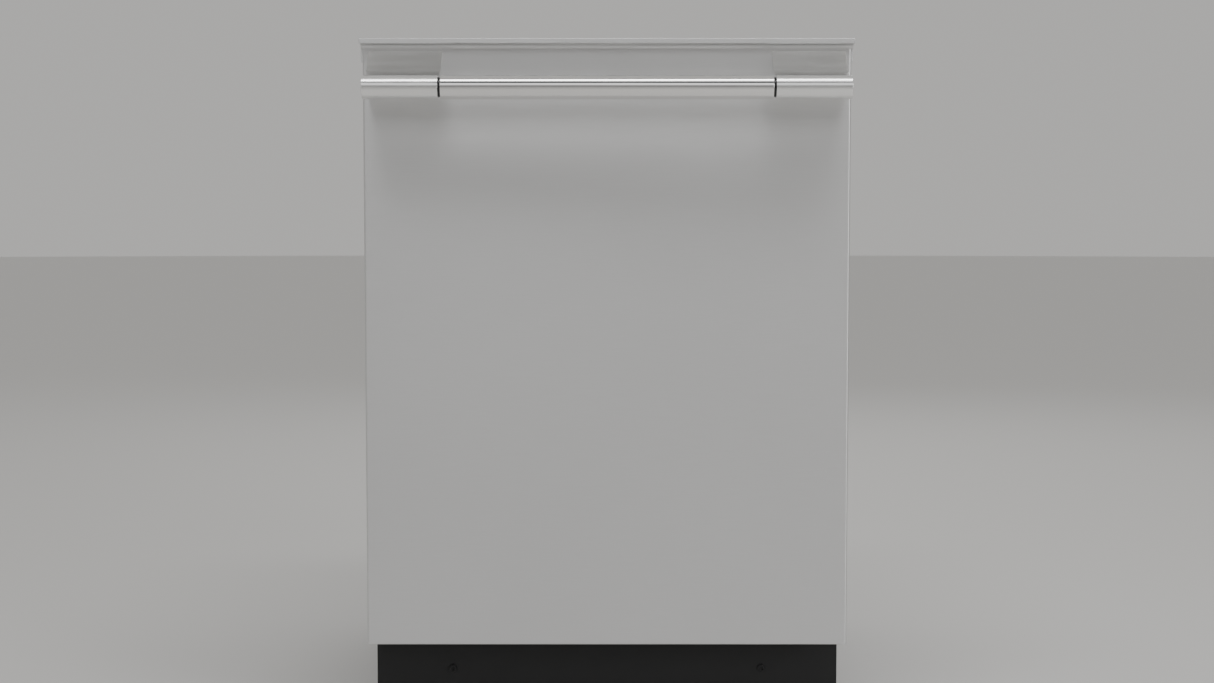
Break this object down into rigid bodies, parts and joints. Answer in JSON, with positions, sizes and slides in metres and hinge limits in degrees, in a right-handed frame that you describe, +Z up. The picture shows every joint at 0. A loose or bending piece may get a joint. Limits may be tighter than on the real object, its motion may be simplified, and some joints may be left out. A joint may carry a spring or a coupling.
{
  "type": "built-in dishwasher",
  "caption": "Built-in dishwasher with a brushed steel door, a tubular bar handle under a lip, racks that roll out, spray arms and a steel tub.",
  "frame": {"origin": "centre of the whole machine's footprint, on the floor", "axes": "+X across the machine, +Y from the door to the back, +Z up"},
  "size_m": [0.606, 0.6784, 0.864],
  "materials": {
    "brushed_steel": "horizontally brushed stainless sheet",
    "polished_steel": "polished stainless tube",
    "satin_steel": "satin turned stainless casting",
    "tub_steel": "bright drawn stainless sheet",
    "zinc_steel": "zinc plated sheet steel",
    "black_plastic": "fine textured black ABS",
    "gloss_black": "gloss black ABS",
    "grey_plastic": "moulded grey polypropylene",
    "pale_plastic": "moulded pale grey polypropylene",
    "base_plastic": "moulded dark grey polypropylene",
    "rack_coating": "grey nylon dipped wire",
    "black_rubber": "extruded EPDM",
    "felt": "needled cotton felt with a bitumen layer",
    "black_paint": "matte black powder coat",
    "mesh_steel": "perforated stainless sheet"
  },
  "bodies": {
    "chassis": {"tub": "tub_steel", "tub_gasket": "black_rubber", "insulation_blanket": "felt", "front_frame": "zinc_steel", "mounting_brackets": "zinc_steel", "base_frame": "base_plastic", "kickplate": "black_paint", "sump": "grey_plastic", "filter_plate": "mesh_steel", "circulation_pump": "base_plastic", "drain_pump": "base_plastic", "drain_hose": "grey_plastic", "inlet_valve": "pale_plastic", "junction_box": "zinc_steel", "heating_element": "zinc_steel", "water_feed_tube": "grey_plastic", "rack_rails": "tub_steel", "hinge_brackets": "zinc_steel", "hinge_pins": "zinc_steel", "door_springs": "zinc_steel", "door_strike": "zinc_steel"},
    "door": {"door_skin": "brushed_steel", "top_trim": "brushed_steel", "handle_tube": "polished_steel", "handle_spacers": "gloss_black", "handle_bracket_left": "satin_steel", "handle_bracket_right": "satin_steel", "inner_door": "tub_steel", "door_insulation": "felt", "control_fascia": "black_plastic", "door_latch": "base_plastic", "dispenser_body": "grey_plastic", "door_seal": "black_rubber", "hinge_arms": "zinc_steel"},
    "button_power_body": {"button_power": "gloss_black"},
    "button_program_body": {"button_program": "gloss_black"},
    "button_option_body": {"button_option": "gloss_black"},
    "button_start_body": {"button_start": "gloss_black"},
    "dispenser_lid_body": {"dispenser_lid": "pale_plastic"},
    "rinse_cap_body": {"rinse_aid_cap": "black_plastic"},
    "leg_front_left_body": {"leg_front_left": "base_plastic"},
    "leg_front_right_body": {"leg_front_right": "base_plastic"},
    "leg_rear_left_body": {"leg_rear_left": "base_plastic"},
    "leg_rear_right_body": {"leg_rear_right": "base_plastic"},
    "filter_body": {"filter_cylinder": "mesh_steel"},
    "lower_arm_body": {"lower_spray_arm": "tub_steel"},
    "ceiling_arm_body": {"ceiling_spray_arm": "grey_plastic"},
    "float_body": {"float_cap": "pale_plastic"},
    "slides_body": {"upper_rack_slides": "tub_steel"},
    "upper_rack_body": {"upper_rack": "rack_coating", "upper_rack_manifold": "grey_plastic"},
    "upper_arm_body": {"upper_spray_arm": "grey_plastic"},
    "shelf_left_body": {"cup_shelf_left": "rack_coating"},
    "shelf_right_body": {"cup_shelf_right": "rack_coating"},
    "third_rack_body": {"third_rack": "rack_coating"},
    "lower_rack_body": {"lower_rack": "rack_coating"},
    "front_wheels_body": {"lower_rack_wheels_front": "grey_plastic"},
    "rear_wheels_body": {"lower_rack_wheels_rear": "grey_plastic"},
    "basket_body": {"cutlery_basket": "grey_plastic"},
    "tines_body": {"folding_tines": "rack_coating"}
  },
  "joints": [
    {"name": "door_hinge", "type": "hinge", "parent": "chassis", "child": "door", "pos_m": [0, -0.24075, 0.123], "axis": [1, 0, 0], "range_deg": [0, 90], "stiffness_Nm_per_rad": 30},
    {"name": "power_press", "type": "slide", "parent": "door", "child": "button_power_body", "axis": [0, 0, -1], "range_m": [0, 0.0015], "stiffness_N_per_m": 400, "springref_m": -0.0005},
    {"name": "program_press", "type": "slide", "parent": "door", "child": "button_program_body", "axis": [0, 0, -1], "range_m": [0, 0.0015], "stiffness_N_per_m": 400, "springref_m": -0.0005},
    {"name": "option_press", "type": "slide", "parent": "door", "child": "button_option_body", "axis": [0, 0, -1], "range_m": [0, 0.0015], "stiffness_N_per_m": 400, "springref_m": -0.0005},
    {"name": "start_press", "type": "slide", "parent": "door", "child": "button_start_body", "axis": [0, 0, -1], "range_m": [0, 0.0015], "stiffness_N_per_m": 400, "springref_m": -0.0005},
    {"name": "dispenser_lid_slide", "type": "slide", "parent": "door", "child": "dispenser_lid_body", "axis": [-1, 0, 0], "range_m": [0, 0.07]},
    {"name": "rinse_cap_turn", "type": "hinge", "parent": "door", "child": "rinse_cap_body", "pos_m": [0.075, -0.20875, 0.54], "axis": [0, 1, 0], "range_deg": [0, 90]},
    {"name": "leg_front_left_turn", "type": "hinge", "parent": "chassis", "child": "leg_front_left_body", "pos_m": [-0.255, -0.16075, 0], "axis": [0, 0, 1], "continuous": true},
    {"name": "leg_front_right_turn", "type": "hinge", "parent": "chassis", "child": "leg_front_right_body", "pos_m": [0.255, -0.16075, 0], "axis": [0, 0, 1], "continuous": true},
    {"name": "leg_rear_left_turn", "type": "hinge", "parent": "chassis", "child": "leg_rear_left_body", "pos_m": [-0.255, 0.28925, 0], "axis": [0, 0, 1], "continuous": true},
    {"name": "leg_rear_right_turn", "type": "hinge", "parent": "chassis", "child": "leg_rear_right_body", "pos_m": [0.255, 0.28925, 0], "axis": [0, 0, 1], "continuous": true},
    {"name": "filter_turn", "type": "hinge", "parent": "chassis", "child": "filter_body", "pos_m": [0.072, 0.05925, 0.153], "axis": [0, 0, 1], "range_deg": [0, 90]},
    {"name": "lower_arm_spin", "type": "hinge", "parent": "chassis", "child": "lower_arm_body", "pos_m": [0, 0.05925, 0.184], "axis": [0, 0, 1], "continuous": true},
    {"name": "ceiling_arm_spin", "type": "hinge", "parent": "chassis", "child": "ceiling_arm_body", "pos_m": [0, 0.05925, 0.81], "axis": [0, 0, 1], "continuous": true},
    {"name": "float_rise", "type": "slide", "parent": "chassis", "child": "float_body", "axis": [0, 0, 1], "range_m": [0, 0.012]},
    {"name": "upper_rack_roll", "type": "slide", "parent": "chassis", "child": "upper_rack_body", "axis": [0, -1, 0], "range_m": [0, 0.45]},
    {"name": "slide_member_roll", "type": "slide", "parent": "chassis", "child": "slides_body", "axis": [0, -1, 0], "range_m": [0, 0.225]},
    {"name": "upper_arm_spin", "type": "hinge", "parent": "upper_rack_body", "child": "upper_arm_body", "pos_m": [0, 0.05925, 0.506], "axis": [0, 0, 1], "continuous": true},
    {"name": "shelf_left_fold", "type": "hinge", "parent": "upper_rack_body", "child": "shelf_left_body", "pos_m": [-0.2415, 0.05925, 0.642], "axis": [0, -1, 0], "range_deg": [0, 80]},
    {"name": "shelf_right_fold", "type": "hinge", "parent": "upper_rack_body", "child": "shelf_right_body", "pos_m": [0.2415, 0.05925, 0.642], "axis": [0, 1, 0], "range_deg": [0, 80]},
    {"name": "third_rack_roll", "type": "slide", "parent": "chassis", "child": "third_rack_body", "axis": [0, -1, 0], "range_m": [0, 0.4]},
    {"name": "lower_rack_roll", "type": "slide", "parent": "chassis", "child": "lower_rack_body", "axis": [0, -1, 0], "range_m": [0, 0.165]},
    {"name": "front_wheels_roll", "type": "hinge", "parent": "lower_rack_body", "child": "front_wheels_body", "pos_m": [0, -0.08075, 0.1713], "axis": [1, 0, 0], "continuous": true},
    {"name": "rear_wheels_roll", "type": "hinge", "parent": "lower_rack_body", "child": "rear_wheels_body", "pos_m": [0, 0.19925, 0.1713], "axis": [1, 0, 0], "continuous": true},
    {"name": "basket_lift", "type": "slide", "parent": "lower_rack_body", "child": "basket_body", "axis": [0, 0, 1], "range_m": [0, 0.12]},
    {"name": "tines_fold", "type": "hinge", "parent": "lower_rack_body", "child": "tines_body", "pos_m": [0, 0.12925, 0.212], "axis": [1, 0, 0], "range_deg": [0, 80]}
  ],
  "couplings": [
    {"joint": "upper_rack_roll", "follows": "door_hinge", "m_per_rad": 0.286},
    {"joint": "slide_member_roll", "follows": "door_hinge", "m_per_rad": 0.143},
    {"joint": "third_rack_roll", "follows": "door_hinge", "m_per_rad": 0.25},
    {"joint": "lower_rack_roll", "follows": "door_hinge", "m_per_rad": 0.105}
  ]
}
